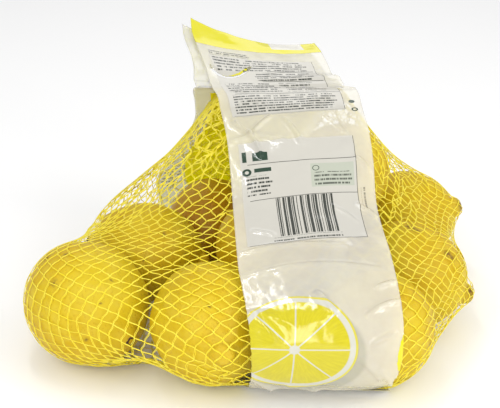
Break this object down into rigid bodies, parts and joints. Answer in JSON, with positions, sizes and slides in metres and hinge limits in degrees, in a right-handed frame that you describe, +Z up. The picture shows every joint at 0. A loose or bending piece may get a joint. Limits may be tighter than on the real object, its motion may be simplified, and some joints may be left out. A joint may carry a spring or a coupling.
{
  "type": "net bag of lemons",
  "caption": "Knitted net bag of lemons lying as a heap, with a printed film strip up the front that ends in a carrying header with a hand slot.",
  "frame": {"origin": "middle of the pack's footprint, on the surface it rests on", "axes": "+X to the right across the front film, +Y from the front of the pack to the back, +Z up"},
  "size_m": [0.2222, 0.2148, 0.1238],
  "materials": {
    "net_yellow": "bright yellow knitted plastic net over lemons",
    "film_printed": "glossy cream printed film",
    "film_back": "glossy cream film"
  },
  "bodies": {
    "root": {"net_bag": "net_yellow", "front_film": "film_printed", "back_film": "film_back"}
  },
  "joints": []
}
